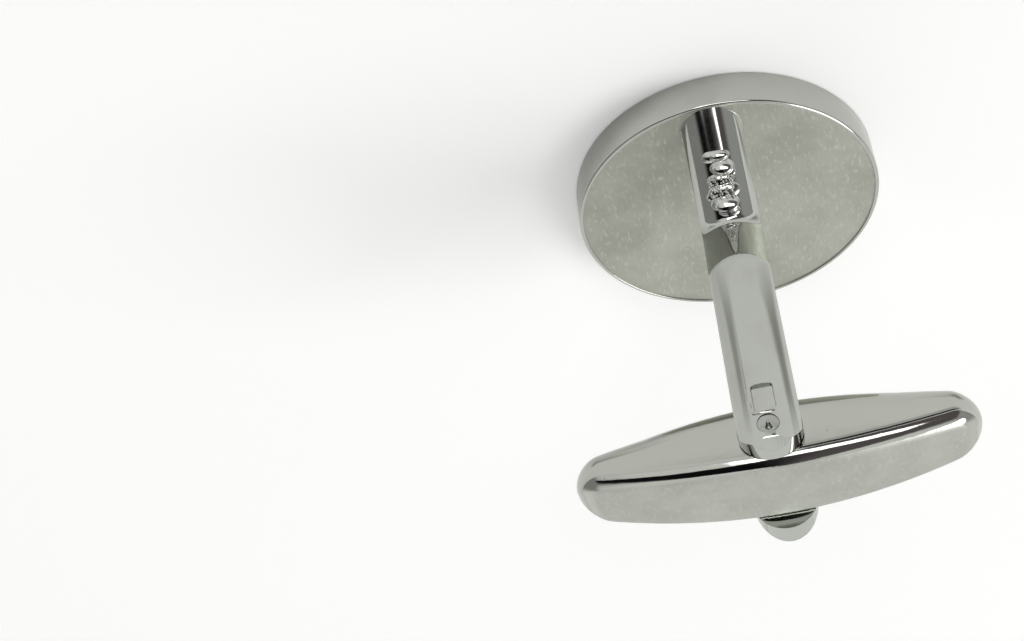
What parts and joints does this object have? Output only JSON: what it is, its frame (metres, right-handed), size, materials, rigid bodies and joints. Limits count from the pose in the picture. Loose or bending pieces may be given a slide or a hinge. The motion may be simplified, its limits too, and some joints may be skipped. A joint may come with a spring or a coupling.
{
  "type": "swivel-bar cufflink",
  "caption": "Round cufflink: a shallow metal head, a forked post of two half-round strips soldered near its edge, and a lens-shaped bar that turns on a riveted pin between the arms.",
  "frame": {"origin": "middle of the head's front face, on which the cufflink stands", "axes": "+Z from the head towards the bar, X along the open bar, +Y away from the leg's foot and along the pin"},
  "size_m": [0.019, 0.016, 0.0209],
  "materials": {
    "head_metal": "polished rim with a satin back wall",
    "front_plate": "satin",
    "strip_metal": "polished",
    "solder": "rough as it flowed",
    "pin_metal": "filed flush and punched",
    "bar_metal": "polished sides and satin faces"
  },
  "bodies": {
    "post": {"head_cup": "head_metal", "front_inlay": "front_plate", "near_strip": "strip_metal", "far_strip": "strip_metal", "foot_solder": "solder", "neck_solder": "solder", "pivot_pin": "pin_metal"},
    "toggle": {"toggle": "bar_metal"}
  },
  "joints": [
    {"name": "toggle_swivel", "type": "hinge", "parent": "post", "child": "toggle", "pos_m": [0, -0.001, 0.0191], "axis": [0, 1, 0], "range_deg": [-90, 90]}
  ]
}
